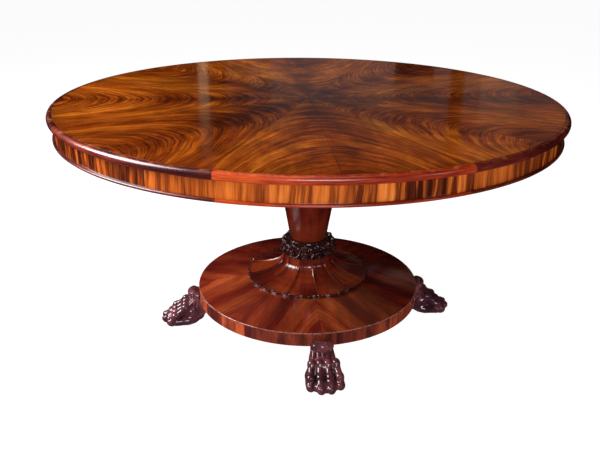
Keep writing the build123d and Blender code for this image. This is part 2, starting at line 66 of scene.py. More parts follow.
# Sizes read from the frame, in millimetres
TOP_RADIUS = cad_high.x / MM
TABLE_TOP = cad_high.z / MM
BOARD_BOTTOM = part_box("top_board_1")[0].z / MM
FIELD_RADIUS = TOP_RADIUS - 16.0
FRIEZE_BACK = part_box("frieze_bricks")[1].x / MM
FRIEZE_FACE = FRIEZE_BACK + 1.0
FRIEZE_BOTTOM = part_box("frieze_bricks")[0].z / MM
BEAD_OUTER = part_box("frieze_bead")[1].x / MM
BEAD_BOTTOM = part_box("frieze_bead")[0].z / MM
PLATFORM_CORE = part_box("platform_core")[1].x / MM
PLATFORM_RADIUS = PLATFORM_CORE + 3.0
PLATFORM_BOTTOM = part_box("platform_core")[0].z / MM
COLLAR_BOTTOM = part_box("leaf_collar")[0].z / MM
COLUMN_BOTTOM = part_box("column")[0].z / MM
BLOCK_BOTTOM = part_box("top_block")[0].z / MM

# Sizes that the frame's boxes don't give, in millimetres
PLATFORM_RIM_TOP = PLATFORM_BOTTOM + 43.0
PLATFORM_FLAT_RADIUS = 185.0
PETAL_RADIUS = 199.0
PETAL_NECK = 80.0
PETAL_TOP = 236.0
BORE_RADIUS = 30.0
MEAN_TURNED_RADIUS = 140.0
TIE_ROD_HOLE = 9.0
JOINT_GAP_DEGREES = 0.02

# How far the platform's upper face climbs for each millimetre inward from its edge
PLATFORM_SLOPE = 0.16

# Joints in the woodwork: angle of the first, in degrees, and how many pieces go round
LEAVES = (-1.4, 16)
RIM_PIECES = (22.5, 8)
FRIEZE_PIECES = (8.5, 8)
EDGE_PIECES = (7.0, 24)
PLATFORM_LEAVES = (45.0, 8)
PETALS = (18.5, 12)

# Pieces that stand out: the renewed length of rim, and how much some frieze panels are darkened: panel 4 for
# its own darker veneer, panels 0, 5 and 7 as painted shade.
RED_RIM_LENGTH = 6.0
SHADED_AND_DARK_FRIEZE_PANELS = ((0.0, -0.24), (4.0, -0.36), (5.0, -0.3), (7.0, -0.1))

# The camera's place round the object
CAMERA_TURN = math.radians(37.76)
CAMERA_TILT = math.radians(67.502)
CAMERA_ROLL = math.radians(0.714)
CAMERA_PLACE = (0.0179, -2.1884, 1.2159)
CAMERA_LENS = 43.456
CAMERA_SHIFT = -0.0229

# The floor's half width in metres, and how bright it and the background are
FLOOR_REACH = 80.0
BACKDROP = 0.96

WHITE = (1.0, 1.0, 1.0)
COOL = (0.88, 0.94, 1.0)
WARM = (1.0, 0.92, 0.84)
GOLDEN = (1.0, 0.78, 0.5)

# Lights: place and aim as studio() takes them, width, height, radiance and colour
LIGHTS = (
    ("key_light", (-2.7, -0.5, 2.2), (-0.3, -0.1, 0.5), 2.0, 1.8, 17.0, WHITE),
    ("front_light", (0.3, -3.6, 1.6), (0.0, 0.0, 0.3), 1.3, 0.8, 13.0, (0.92, 0.96, 1.0)),
    ("right_light", (2.6, -2.4, 1.1), (0.4, 0.0, 0.05), 0.5, 0.7, 4.0, WHITE),
    ("top_light", (-0.4, -0.6, 4.2), (0.0, 0.0, 0.7), 3.0, 3.0, 0.6, WHITE),
)

# Screens behind the table: left and right edge, foot, glow and colour. Each is three layers that start
# at its foot, given by the height of their top and their share of the glow, so that it fades upward.
CARD_DISTANCE = 3.0
CARD_TOPS = ((1.45, 0.5), (1.62, 0.3), (1.85, 0.2))
CARDS = (
    (-0.82, -0.75, 0.95, 0.42, GOLDEN),
    (-0.62, -0.46, 0.95, 0.04, COOL),
    (-0.46, -0.30, 0.95, 0.08, COOL),
    (-0.30, 0.58, 0.95, 0.13, COOL),
    (0.58, 0.86, 1.26, 0.09, COOL),
    (0.86, 0.98, 0.95, 0.1, COOL),
    (1.08, 1.20, 0.95, 0.1, COOL),
    (1.20, 1.48, 0.95, 0.18, WARM),
    (1.48, 2.20, 0.95, 0.12, COOL),
)


# Colours and node trees


def shade(red, green, blue):
    """A colour in ordinary 0 to 255 values, as the linear values that shaders take."""
    parts = [c / 255 for c in (red, green, blue)]
    linear = [c / 12.92 if c <= 0.04045 else ((c + 0.055) / 1.055) ** 2.4 for c in parts]
    return (*linear, 1.0)


class Graph:
    """A material's node tree, written as expressions: each call adds a node and gives its output."""

    def __init__(self, name):
        self.material = bpy.data.materials.new(name)
        self.material.use_nodes = True
        self.tree = self.material.node_tree
        self.tree.nodes.clear()
        self.place = self.node("ShaderNodeTexCoord").outputs["Object"]

    def node(self, kind, inputs=None, **settings):
        made = self.tree.nodes.new(kind)
        for key, value in settings.items():
            setattr(made, key, value)
        for key, value in (inputs or {}).items():
            self.feed(made.inputs[key], value)
        return made

    def feed(self, socket, value):
        if isinstance(value, bpy.types.NodeSocket):
            self.tree.links.new(value, socket)
        else:
            socket.default_value = value

    def math(self, operation, *values):
        made = self.node("ShaderNodeMath", operation=operation)
        for socket, value in zip(made.inputs, values):
            self.feed(socket, value)
        return made.outputs[0]

    def sum(self, *values):
        total = values[0]
        for value in values[1:]:
            total = self.math("ADD", total, value)
        return total

    def times(self, first, second):
        return self.math("MULTIPLY", first, second)

    def point(self, x, y, z=0.0):
        return self.node("ShaderNodeCombineXYZ", {"X": x, "Y": y, "Z": z}).outputs[0]

    def split(self, vector):
        return self.node("ShaderNodeSeparateXYZ", {0: vector}).outputs

    def noise(self, vector, scale=1.0, detail=2.0, roughness=0.5, distortion=0.0):
        made = self.node("ShaderNodeTexNoise", {
            "Vector": vector, "Scale": scale, "Detail": detail, "Roughness": roughness,
            "Distortion": distortion,
        })
        return made.outputs[0]

    def rise(self, value, low, high, start=0.0, end=1.0):
        """Smoothly from start to end as value goes from low to high."""
        made = self.node("ShaderNodeMapRange", {
            "Value": value, "From Min": low, "From Max": high, "To Min": start, "To Max": end,
        }, interpolation_type="SMOOTHSTEP")
        return made.outputs[0]

    def number(self, value, seed=0.0):
        """A steady random value from 0 to 1 for each whole number."""
        shifted = self.math("ADD", value, seed)
        return self.node("ShaderNodeTexWhiteNoise", {"W": shifted}, noise_dimensions="1D").outputs["Value"]

    def mix(self, factor, first, second, blend="MIX"):
        made = self.node("ShaderNodeMix", data_type="RGBA", blend_type=blend)
        for index, value in ((0, factor), (6, first), (7, second)):
            self.feed(made.inputs[index], value)
        return made.outputs[2]

    def colours(self, factor, *stops):
        """A colour ramp with a stop at each position."""
        made = self.node("ShaderNodeValToRGB", {"Fac": factor})
        elements = made.color_ramp.elements
        elements[0].position, elements[0].color = stops[0]
        elements[1].position, elements[1].color = stops[-1]
        for position, colour in stops[1:-1]:
            elements.new(position).color = colour
        return made.outputs[0]

    def dim(self, colour, amount):
        """The colour times a plain number."""
        return self.mix(1.0, colour, self.node("ShaderNodeCombineColor", {
            "Red": amount, "Green": amount, "Blue": amount,
        }).outputs[0], "MULTIPLY")

    def polar(self, first_joint):
        """Radius, and the angle in radians on from a joint, from 0 to a full turn."""
        x, y, _ = self.split(self.place)
        away = math.radians(first_joint) + math.pi
        along = self.sum(self.times(x, math.cos(away)), self.times(y, math.sin(away)))
        across = self.sum(self.times(y, math.cos(away)), self.times(x, -math.sin(away)))
        turn = self.math("ADD", self.math("ARCTAN2", across, along), math.pi)
        radius = self.math("SQRT", self.sum(self.times(x, x), self.times(y, y)))
        return radius, turn

    def pieces(self, joints):
        """Radius, angle within a piece, the piece's number, and the height, for pieces set in a ring."""
        first, count = joints
        step = 2 * math.pi / count
        radius, turn = self.polar(first)
        number = self.math("FLOOR", self.math("DIVIDE", turn, step))
        return radius, turn, number, self.split(self.place)[2]

    def bump(self, height, distance, normal=None):
        inputs = {"Height": height, "Distance": distance, "Strength": 1.0}
        if normal is not None:
            inputs["Normal"] = normal
        return self.node("ShaderNodeBump", inputs).outputs[0]

    def finish(self, colour, roughness, normal=None, coat=1.0, coat_roughness=0.08, **others):
        inputs = {
            "Base Color": colour, "Roughness": roughness,
            "Coat Weight": coat, "Coat Roughness": coat_roughness, **others,
        }
        if normal is not None:
            inputs["Normal"] = normal
        shader = self.node("ShaderNodeBsdfPrincipled", inputs)
        self.node("ShaderNodeOutputMaterial", {"Surface": shader.outputs[0]})
        return self.material

    def polish(self, colour, grain, coat_roughness=0.08, ripple=0.00006):
        """French polish over wood: a clear coat with a faint ripple, and grain that just tells in it."""
        ripples = self.noise(self.place, 28.0, 2.0)
        wear = self.noise(self.place, 7.0, 4.0, 0.6)
        roughness = self.rise(wear, 0.3, 0.7, 0.34, 0.5)
        surface = self.bump(ripples, ripple)
        return self.finish(
            colour, roughness, self.bump(grain, 0.00008, surface),
            coat_roughness=coat_roughness, **{
                "Coat Normal": self.bump(grain, 0.00001, surface), "Coat IOR": 1.5,
                "Specular IOR Level": 0.04,
            },
        )


def streaks(g, first, second, seed, pace, detail=3.0):
    """Noise over two distances: pace says how often it changes in a metre of each."""
    return g.noise(g.point(g.times(first, pace[0]), g.times(second, pace[1]), seed), 1.0, detail)


def figured(g, along, across, drift, slow=7.0):
    """Streaks that follow the lines of equal along: broad, middling and fine, with flame across them."""
    broad = streaks(g, along, across, drift, (slow, 5.0))
    middle = streaks(g, along, across, g.math("ADD", drift, 7.0), (slow * 9, 6.0))
    fine = streaks(g, along, across, g.math("ADD", drift, 3.0), (slow * 34, 14.0))
    flame = streaks(g, along, across, g.math("ADD", drift, 5.0), (9.0, 34.0), 2.0)
    return broad, middle, fine, flame


def folded(g, joints, curve, wander, slant=0.0):
    """Leaves of veneer mirrored at each joint, their grain arched about every other one.

    Gives the grain's line, the distance off the feathered joint, the angle off it as a share of a leaf,
    the drift from leaf to leaf, the leaf's number, the distance to the nearest joint, and the radius.
    """
    first, count = joints
    step = 2 * math.pi / count
    radius, turn = g.polar(first)
    number = g.math("FLOOR", g.math("DIVIDE", turn, step))
    fold = g.math("PINGPONG", turn, step)
    drift = g.times(number, 0.13)
    inward = g.times(radius, g.math("COSINE", fold))
    aside = g.times(radius, g.math("SINE", fold))
    place = g.point(g.times(inward, 3.1), g.times(aside, 6.0), g.math("ADD", drift, 1.7))
    sway = g.noise(place, 1.0, 5.0, 0.55)
    line = g.sum(
        inward,
        g.times(g.times(aside, aside), -curve),
        g.times(aside, -slant),
        g.times(g.math("SUBTRACT", sway, 0.5), wander),
    )
    share = g.math("DIVIDE", fold, step)
    nearest = g.math("MINIMUM", fold, g.math("SUBTRACT", step, fold))
    return line, aside, share, drift, number, g.times(radius, nearest), radius


def flame_veneer():
    """The table top: sixteen book-matched leaves, darkened towards the middle, with fine seams."""
    g = Graph("flame_veneer_polish")
    line, aside, share, drift, number, joint, radius = folded(g, LEAVES, 5.5, 0.06)
    broad, middle, fine, flame = figured(g, line, aside, drift)
    tone = g.sum(
        g.rise(share, 0.0, 1.0, 0.33, 0.55),
        g.rise(broad, 0.3, 0.7, -0.13, 0.13),
        g.rise(middle, 0.34, 0.66, -0.1, 0.12),
        g.rise(fine, 0.32, 0.68, -0.13, 0.13),
        g.rise(g.number(number), 0.0, 1.0, -0.06, 0.06),
    )
    wood = g.colours(
        tone,
        (0.0, shade(46, 13, 3)), (0.25, shade(88, 30, 5)), (0.5, shade(136, 58, 9)),
        (0.75, shade(182, 98, 22)), (1.0, shade(226, 148, 56)),
    )
    mottle = g.rise(g.noise(g.place, 7.0, 7.0, 0.68, 0.6), 0.34, 0.66, 0.7, 1.22)
    age = g.times(mottle, g.rise(radius, 0.04, 0.6, 0.42, 1.0))
    wood = g.dim(wood, g.times(g.rise(flame, 0.3, 0.72, 0.82, 1.2), age))
    pores = streaks(g, line, aside, drift, (900.0, 60.0), 1.0)
    wood = g.mix(g.rise(pores, 0.62, 0.72, 0.0, 0.35), wood, shade(50, 18, 8))
    seam = g.rise(joint, 0.0002, 0.0009, 0.6, 0.0)
    wood = g.mix(seam, wood, shade(40, 16, 9))
    stain = g.rise(g.noise(g.place, 4.2, 4.0, 0.65), 0.55, 0.8, 0.0, 0.3)
    wood = g.mix(stain, wood, shade(74, 30, 16))
    edge = g.rise(radius, FIELD_RADIUS * MM - 0.02, FIELD_RADIUS * MM, 0.0, 0.18)
    wood = g.mix(edge, wood, shade(60, 24, 12))
    return g.polish(wood, fine, 0.1, 0.00004)


def platform_veneer():
    """The platform: eight leaves with a V of orange flame on each foot's axis."""
    g = Graph("platform_veneer_polish")
    line, aside, share, drift, number, joint, radius = folded(g, PLATFORM_LEAVES, 1.2, 0.05, 1.15)
    broad, middle, fine, flame = figured(g, line, aside, drift, 12.0)
    tone = g.sum(
        g.rise(share, 0.0, 0.55, 0.56, 0.38),
        g.rise(broad, 0.3, 0.7, -0.2, 0.24),
        g.rise(middle, 0.3, 0.7, -0.07, 0.07),
        g.rise(fine, 0.25, 0.75, -0.07, 0.07),
        g.rise(g.number(number, 9.0), 0.0, 1.0, -0.05, 0.05),
    )
    wood = g.colours(
        tone,
        (0.0, shade(58, 11, 10)), (0.3, shade(86, 21, 15)), (0.55, shade(110, 35, 20)),
        (0.78, shade(142, 62, 30)), (1.0, shade(174, 94, 46)),
    )
    mottle = g.noise(g.place, 9.0, 4.0, 0.6)
    wood = g.dim(wood, g.times(g.rise(flame, 0.3, 0.72, 0.84, 1.18), g.rise(mottle, 0.3, 0.7, 0.8, 1.1)))
    wood = g.mix(g.rise(joint, 0.0002, 0.0008, 0.6, 0.0), wood, shade(40, 12, 9))
    knocks = g.rise(g.noise(g.place, 60.0, 3.0), 0.68, 0.76, 0.0, 0.5)
    wood = g.mix(knocks, wood, shade(44, 15, 12))
    wood = arris_highlight_and_chips(g, wood, radius)
    return g.polish(wood, fine, 0.12)


def arris_highlight_and_chips(g, wood, radius):
    """A painted highlight: a thin pale grey line along the platform's upper edge; with small darker chips,
    which are real wear.
    """
    along = g.noise(g.place, 22.0, 4.0, 0.6)
    reach = g.rise(along, 0.3, 0.7, 0.0004, 0.0022)
    start = g.math("SUBTRACT", PLATFORM_RADIUS * MM - 0.0002, reach)
    near = g.math("GREATER_THAN", radius, start)
    high = g.math("GREATER_THAN", g.split(g.place)[2], (PLATFORM_RIM_TOP - 2.2) * MM)
    # Painted highlight: a broken pale grey line along the upper arris.
    arris_highlight = g.times(g.times(near, high), g.rise(g.noise(g.place, 140.0, 3.0), 0.3, 0.62, 0.25, 0.85))
    chips = g.times(g.times(near, high), g.rise(g.noise(g.place, 48.0, 2.0), 0.6, 0.66, 0.0, 0.8))
    return g.mix(chips, g.mix(arris_highlight, wood, shade(150, 118, 104)), shade(48, 34, 26))


def striped_veneer():
    """The frieze: upright grain in narrow light and dark stripes, with calmer orange stretches, and a
    painted shadow under the rim.
    """
    g = Graph("striped_veneer_polish")
    _, turn, number, height = g.pieces(FRIEZE_PIECES)
    reach = g.times(turn, FRIEZE_FACE * MM)
    reach = g.math("ADD", reach, g.times(streaks(g, reach, height, number, (5.0, 9.0), 2.0), 0.02))
    seed = g.times(number, 5.3)
    broad = streaks(g, reach, height, seed, (16.0, 2.0), 2.0)
    stripe = streaks(g, reach, height, seed, (85.0, 5.0), 2.0)
    fine = streaks(g, reach, height, seed, (420.0, 14.0))
    calm = g.rise(g.noise(g.point(g.times(reach, 2.6), 0.0, g.math("ADD", seed, 2.0))), 0.42, 0.62, 1.0, 0.3)
    tone = g.sum(
        0.5,
        g.times(g.rise(stripe, 0.3, 0.7, -0.46, 0.42), calm),
        g.rise(broad, 0.3, 0.7, -0.14, 0.16),
        g.rise(fine, 0.25, 0.75, -0.1, 0.1),
        g.rise(g.number(number, 4.0), 0.0, 1.0, -0.1, 0.06),
        # Panel 4 is darker veneer; the darkening of panels 0, 5 and 7 is painted shade.
        *(g.times(g.math("COMPARE", number, panel, 0.1), change) for panel, change in SHADED_AND_DARK_FRIEZE_PANELS),
    )
    wood = g.colours(
        tone,
        (0.0, shade(58, 18, 5)), (0.3, shade(116, 46, 10)), (0.55, shade(184, 88, 26)),
        (0.8, shade(218, 116, 44)), (1.0, shade(236, 150, 78)),
    )
    # Painted shadow: the top 5 mm of the frieze, under the rim's overhang, is darkened.
    painted_rim_shadow = g.rise(height, (BOARD_BOTTOM - 5) * MM, BOARD_BOTTOM * MM, 0.0, 0.55)
    wood = g.mix(painted_rim_shadow, wood, shade(44, 16, 12))
    return g.polish(wood, fine, 0.12)


def rim_mahogany():
    """The bullnose lip and bead: long grain; one length is a brighter, redder replacement."""
    g = Graph("rim_mahogany_polish")
    radius, turn, number, height = g.pieces(RIM_PIECES)
    reach = g.times(turn, TOP_RADIUS * MM)
    seed = g.times(number, 3.7)
    broad = streaks(g, reach, radius, seed, (4.0, 30.0))
    fine = g.noise(g.point(g.times(reach, 22.0), g.times(radius, 420.0), g.times(height, 420.0)), 1.0, 3.0)
    tone = g.sum(g.rise(broad, 0.3, 0.7, 0.1, 0.8), g.rise(fine, 0.3, 0.7, -0.2, 0.2))
    dark = g.colours(
        tone, (0.0, shade(40, 8, 12)), (0.5, shade(80, 20, 18)), (1.0, shade(124, 46, 26)),
    )
    red = g.colours(
        tone, (0.0, shade(112, 24, 9)), (0.5, shade(172, 56, 17)), (1.0, shade(212, 98, 34)),
    )
    renewed = g.math("COMPARE", number, RED_RIM_LENGTH, 0.1)
    wood = g.mix(renewed, dark, red)
    worn = g.times(
        g.rise(g.noise(g.place, 34.0, 4.0, 0.65), 0.46, 0.7, 0.0, 0.6),
        g.rise(height, (TABLE_TOP - 6) * MM, TABLE_TOP * MM),
    )
    wood = g.mix(worn, wood, shade(182, 104, 52))
    return g.polish(wood, fine, 0.24)


def turned_mahogany(name, joints, dark, middle, light, scale, rough):
    """Dense red mahogany on the column and petals, its grain running up or outward, with painted shade in
    hollows and a dark rim of painted shade at the petals' edge.
    """
    g = Graph(name)
    radius, turn, number, height = g.pieces(joints)
    climb = g.math("ADD", height, g.times(radius, -0.6))
    side = g.times(turn, MEAN_TURNED_RADIUS * MM)
    seed = g.times(number, 2.9)
    broad = streaks(g, side, climb, seed, (13.0 * scale, 6.0))
    fine = streaks(g, side, climb, seed, (300.0 * scale, 14.0))
    flame = streaks(g, side, climb, seed, (10.0, 60.0), 2.0)
    tone = g.sum(
        g.rise(broad, 0.3, 0.7, 0.1, 0.85), g.rise(fine, 0.25, 0.75, -0.14, 0.14),
        g.rise(flame, 0.3, 0.7, -0.1, 0.1), g.rise(g.number(number), 0.0, 1.0, -0.16, 0.16),
    )
    wood = g.colours(tone, (0.0, dark), (0.5, middle), (1.0, light))
    # Painted shade: hollows, where the pointiness is low, are darkened towards near black.
    pointed = g.node("ShaderNodeNewGeometry").outputs["Pointiness"]
    wood = g.mix(g.rise(pointed, 0.44, 0.495, 0.75, 0.0), wood, shade(26, 7, 7))
    wood = g.mix(g.rise(pointed, 0.52, 0.6, 0.0, 0.35), wood, shade(150, 84, 52))
    # Painted shade: the petals' rolled edge and the wall below it, beyond 192 mm out, are darkened.
    scalloped = g.rise(radius, (PETAL_RADIUS - 7) * MM, (PETAL_RADIUS - 4) * MM, 0.0, 0.7)
    wood = g.mix(scalloped, wood, shade(34, 10, 9))
    return g.polish(wood, fine, rough)


def carved_mahogany():
    """Thickly polished carving, nearly black on the collar, with painted shade in the hollows and worn high
    points.
    """
    g = Graph("carved_mahogany_polish")
    x, y, z = g.split(g.place)
    broad = g.noise(g.place, 16.0, 4.0, 0.6)
    fine = g.noise(g.point(g.times(x, 90.0), g.times(y, 90.0), g.times(z, 420.0)), 1.0, 3.0)
    tone = g.sum(g.rise(broad, 0.3, 0.7, 0.1, 0.8), g.rise(fine, 0.3, 0.7, -0.12, 0.12))
    dark = g.colours(tone, (0.0, shade(24, 8, 12)), (0.5, shade(46, 15, 18)), (1.0, shade(80, 28, 26)))
    worn = g.colours(tone, (0.0, shade(44, 20, 28)), (0.5, shade(80, 40, 48)), (1.0, shade(126, 68, 70)))
    out = g.math("ADD", g.math("ABSOLUTE", x), g.math("ABSOLUTE", y))
    wood = g.mix(g.rise(out, 0.18, 0.3), dark, worn)
    pointed = g.node("ShaderNodeNewGeometry").outputs["Pointiness"]
    # Painted shade: hollows, where the pointiness is low, are darkened to near black.
    wood = g.mix(g.rise(pointed, 0.4, 0.49, 0.85, 0.0), wood, shade(14, 6, 10))
    wood = g.mix(g.rise(pointed, 0.52, 0.62, 0.0, 0.4), wood, shade(130, 66, 56))
    return g.polish(wood, fine, 0.06)


def edge_veneer():
    """The platform's edge: short upright strips, each its own tone."""
    g = Graph("crossband_polish")
    radius, turn, number, height = g.pieces(EDGE_PIECES)
    reach = g.times(turn, PLATFORM_RADIUS * MM)
    seed = g.times(number, 4.1)
    broad = streaks(g, reach, height, seed, (30.0, 6.0))
    fine = streaks(g, reach, height, seed, (380.0, 20.0))
    tone = g.sum(
        g.rise(broad, 0.3, 0.7, 0.1, 0.7), g.rise(fine, 0.25, 0.75, -0.14, 0.14),
        g.rise(g.number(number, 2.0), 0.0, 1.0, -0.2, 0.25),
    )
    wood = g.colours(
        tone, (0.0, shade(66, 22, 20)), (0.5, shade(116, 44, 28)), (1.0, shade(176, 78, 38)),
    )
    scuffs = g.rise(g.noise(g.place, 90.0, 4.0, 0.7), 0.62, 0.74, 0.0, 0.4)
    wood = g.mix(scuffs, wood, shade(70, 50, 44))
    return g.polish(arris_highlight_and_chips(g, wood, radius), fine, 0.16)


def plain_wood(name, dark, light, stretch, gloss):
    """Unfigured secondary wood, waxed or left raw; its grain runs along the stretched axis."""
    g = Graph(name)
    x, y, z = g.split(g.place)
    sway = g.times(g.noise(g.place, 3.0, 2.0), 0.05)
    across = g.math("ADD", y if stretch == "x" else x, sway)
    along = x if stretch == "x" else y
    grain = g.noise(g.point(g.times(along, 3.0), g.times(across, 60.0), g.times(z, 60.0)), 1.0, 4.0, 0.6)
    pores = g.noise(g.point(g.times(along, 30.0), g.times(across, 900.0), g.times(z, 900.0)), 1.0, 2.0)
    wood = g.colours(g.rise(grain, 0.3, 0.7), (0.0, dark), (1.0, light))
    wood = g.mix(g.rise(pores, 0.6, 0.7, 0.0, 0.5), wood, dark)
    dust = g.rise(g.noise(g.place, 9.0, 5.0, 0.7), 0.5, 0.8, 0.0, 0.3)
    wood = g.mix(dust, wood, shade(96, 84, 70))
    rough = g.rise(grain, 0.3, 0.7, 0.55, 0.75)
    return g.finish(wood, rough, g.bump(pores, 0.0002), gloss, 0.3, **{"Specular IOR Level": 0.3})


def old_metal(name, colour, tarnish, rough):
    """Turned metal with tarnish in patches and fine scratches."""
    g = Graph(name)
    patches = g.noise(g.place, 40.0, 5.0, 0.65)
    scratches = g.noise(g.place, 900.0, 2.0, 0.5, 2.0)
    metal = g.mix(g.rise(patches, 0.4, 0.68, 0.0, 0.85), colour, tarnish)
    dulled = g.rise(patches, 0.35, 0.7, rough, rough + 0.3)
    roughness = g.sum(dulled, g.rise(scratches, 0.4, 0.6, -0.04, 0.04))
    return g.finish(metal, roughness, g.bump(scratches, 0.00003), 0.0, Metallic=1.0)


# Meshes


def piece(name, shapes, material, body, replaced=(), sharp=35.0):
    """A mesh object made of closed shapes in millimetres, riding on a body."""
    vertices, faces, offset = [], [], 0
    for points, polygons in shapes:
        vertices.append(np.asarray(points, float) * MM)
        faces.extend(tuple(int(i) + offset for i in face) for face in polygons)
        offset += len(points)
    mesh = bpy.data.meshes.new(name)
    mesh.from_pydata(np.concatenate(vertices).tolist(), [], faces)
    mesh.validate()
    mesh.shade_smooth()
    mesh.set_sharp_from_angle(angle=math.radians(sharp))
    mesh.materials.append(material)
    made = bpy.data.objects.new(name, mesh)
    bpy.context.scene.collection.objects.link(made)
    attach(made, body)
    if replaced:
        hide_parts(*replaced)


def arc(start, middle, end, count=8):
    """Points from start to end on the circle through all three."""
    (ax, ay), (bx, by), (cx, cy) = start, middle, end
    d = 2 * (ax * (by - cy) + bx * (cy - ay) + cx * (ay - by))
    squares = [x * x + y * y for x, y in (start, middle, end)]
    ux = (squares[0] * (by - cy) + squares[1] * (cy - ay) + squares[2] * (ay - by)) / d
    uy = (squares[0] * (cx - bx) + squares[1] * (ax - cx) + squares[2] * (bx - ax)) / d
    turns = [math.atan2(y - uy, x - ux) for x, y in (start, middle, end)]
    radius = math.hypot(ax - ux, ay - uy)
    full = 2 * math.pi
    sweep, part = (turns[2] - turns[0]) % full, (turns[1] - turns[0]) % full
    if part > sweep:
        sweep -= full
    steps = [turns[0] + sweep * i / count for i in range(count + 1)]
    return [(ux + radius * math.cos(t), uy + radius * math.sin(t)) for t in steps]


def smooth_curve(points, count):
    """Points evenly counted along a Catmull-Rom curve through the given ones."""
    p = np.asarray(points, float)
    p = np.vstack([2 * p[0] - p[1], p, 2 * p[-1] - p[-2]])
    t = np.linspace(0, len(p) - 3 - 1e-9, count)
    i = t.astype(int)
    f = (t - i)[:, None]
    a, b, c, d = p[i], p[i + 1], p[i + 2], p[i + 3]
    square, cube = 2 * a - 5 * b + 4 * c - d, 3 * b - a - 3 * c + d
    return 0.5 * (2 * b + (c - a) * f + square * f ** 2 + cube * f ** 3)


def grid_shape(grid, ring):
    """A shape from columns of points, each a closed section: joined in a ring, or capped at both ends."""
    columns, rows = grid.shape[:2]
    faces = []
    for i in range(columns if ring else columns - 1):
        here, there = i * rows, (i + 1) % columns * rows
        for j in range(rows):
            k = (j + 1) % rows
            faces.append((here + j, there + j, there + k, here + k))
    if not ring:
        faces.append(tuple(range(rows)))
        faces.append(tuple(range((columns - 1) * rows, columns * rows))[::-1])
    return grid.reshape(-1, 3), faces


def turned(outline, start=0.0, sweep=360.0, step=1.25):
    """A closed outline of radius and height turned about the axis. It runs anticlockwise."""
    whole = sweep >= 360.0
    count = max(2, round(sweep / step)) + (0 if whole else 1)
    angles = np.radians(start + np.linspace(0, sweep, count, endpoint=not whole))
    r, z = np.asarray(outline, float).T
    grid = np.stack([
        np.outer(np.cos(angles), r), np.outer(np.sin(angles), r), np.tile(z, (count, 1)),
    ], axis=-1)
    return grid_shape(grid, whole)


def ring_of(joints):
    """The start and sweep of each piece in a ring, with a hair of a gap between them."""
    first, count = joints
    step = 360.0 / count
    return [(first + i * step, step - JOINT_GAP_DEGREES) for i in range(count)]


# Carving: distances to a surface, negative inside, sampled on a grid


def ball(p, centre, radii):
    """An ellipsoid."""
    q = [(a - c) / r for a, c, r in zip(p, centre, radii)]
    near = np.sqrt(sum(a * a for a in q)) + 1e-6
    steep = np.sqrt(sum((a / r) ** 2 for a, r in zip(q, radii))) + 1e-6
    return near * (near - 1) / steep


def rod(p, start, end, first, last):
    """A round-ended rod that tapers from one radius to another."""
    along = [b - a for a, b in zip(start, end)]
    length = sum(a * a for a in along)
    t = np.clip(sum((q - a) * b for q, a, b in zip(p, start, along)) / length, 0, 1)
    off = np.sqrt(sum((q - a - t * b) ** 2 for q, a, b in zip(p, start, along)))
    return off - (first + (last - first) * t)


def block(p, centre, half, rounding):
    """A box with rounded edges."""
    q = [np.abs(a - c) - h + rounding for a, c, h in zip(p, centre, half)]
    outside = np.sqrt(sum(np.maximum(a, 0) ** 2 for a in q))
    return outside + np.minimum(np.maximum(np.maximum(q[0], q[1]), q[2]), 0) - rounding


def join(first, second, blend):
    """Two shapes run into each other over the given width."""
    h = np.clip(0.5 + 0.5 * (second - first) / blend, 0, 1)
    return second + (first - second) * h - blend * h * (1 - h)


def carve(shape, tool, blend):
    """A shape with another cut out of it, the cut's edges softened."""
    return -join(-shape, tool, blend)


def surface_net(field, low, step):
    """The zero surface of a sampled field as a mesh with one vertex in each cell that it crosses."""
    shape = np.array(field.shape)
    total = np.zeros((*(shape - 1), 3), np.float32)
    count = np.zeros(shape - 1, np.float32)
    crossings = []
    for axis in range(3):
        first = np.take(field, range(shape[axis] - 1), axis)
        second = np.take(field, range(1, shape[axis]), axis)
        cross = (first < 0) != (second < 0)
        share = np.where(cross, first / np.where(cross, first - second, 1), 0)
        crossings.append((cross, first < 0))
        others = [a for a in range(3) if a != axis]
        for offset in itertools.product((0, 1), repeat=2):
            pick = [slice(None)] * 3
            for a, o in zip(others, offset):
                pick[a] = slice(o, o + shape[a] - 1)
            hit = cross[tuple(pick)]
            count += hit
            total[..., axis] += share[tuple(pick)]
            for a, o in zip(others, offset):
                total[..., a] += hit * o
    used = count > 0
    ids = np.cumsum(used.ravel()).reshape(used.shape) - 1
    cells = np.argwhere(used)
    points = np.asarray(low) + step * (cells + total[used] / count[used][:, None])
    faces = []
    for axis, (cross, inside) in enumerate(crossings):
        u, v = (axis + 1) % 3, (axis + 2) % 3
        at = np.argwhere(cross)
        at = at[(at[:, u] > 0) & (at[:, v] > 0) & (at[:, u] < shape[u] - 1) & (at[:, v] < shape[v] - 1)]
        corners = []
        for du, dv in ((1, 1), (0, 1), (0, 0), (1, 0)):
            cell = at.copy()
            cell[:, u] -= du
            cell[:, v] -= dv
            corners.append(ids[tuple(cell.T)])
        quads = np.stack(corners, axis=1)
        flip = ~inside[tuple(at.T)]
        quads[flip] = quads[flip][:, ::-1]
        faces.append(quads)
    return points, np.concatenate(faces)


def sampled(low, high, step, field):
    """The mesh of a field between two corners."""
    axes = [np.arange(a, b + step, step, dtype=np.float32) for a, b in zip(low, high)]
    return surface_net(field(np.meshgrid(*axes, indexing="ij")), low, step)


def turned_about(points, degrees):
    """Points turned about the table's axis."""
    c, s = math.cos(math.radians(degrees)), math.sin(math.radians(degrees))
    x, y, z = points.T
    return np.stack([c * x - s * y, s * x + c * y, z], axis=1)


# The lion's paw: x runs outward from the table's axis, y across the foot

# Where each toe is across the foot, and how far out its tip reaches
TOES = ((-42.0, 471.0), (-14.0, 488.0), (14.0, 488.0), (42.0, 471.0))
LOCKS = (-27, -13.5, 0, 13.5, 27)
SCROLL_X, SCROLL_Z, SCROLL_GROOVE = 381, 100, 7.5
FOOT_BACK = 334
PLATFORM_WALL = PLATFORM_RADIUS + 0.6


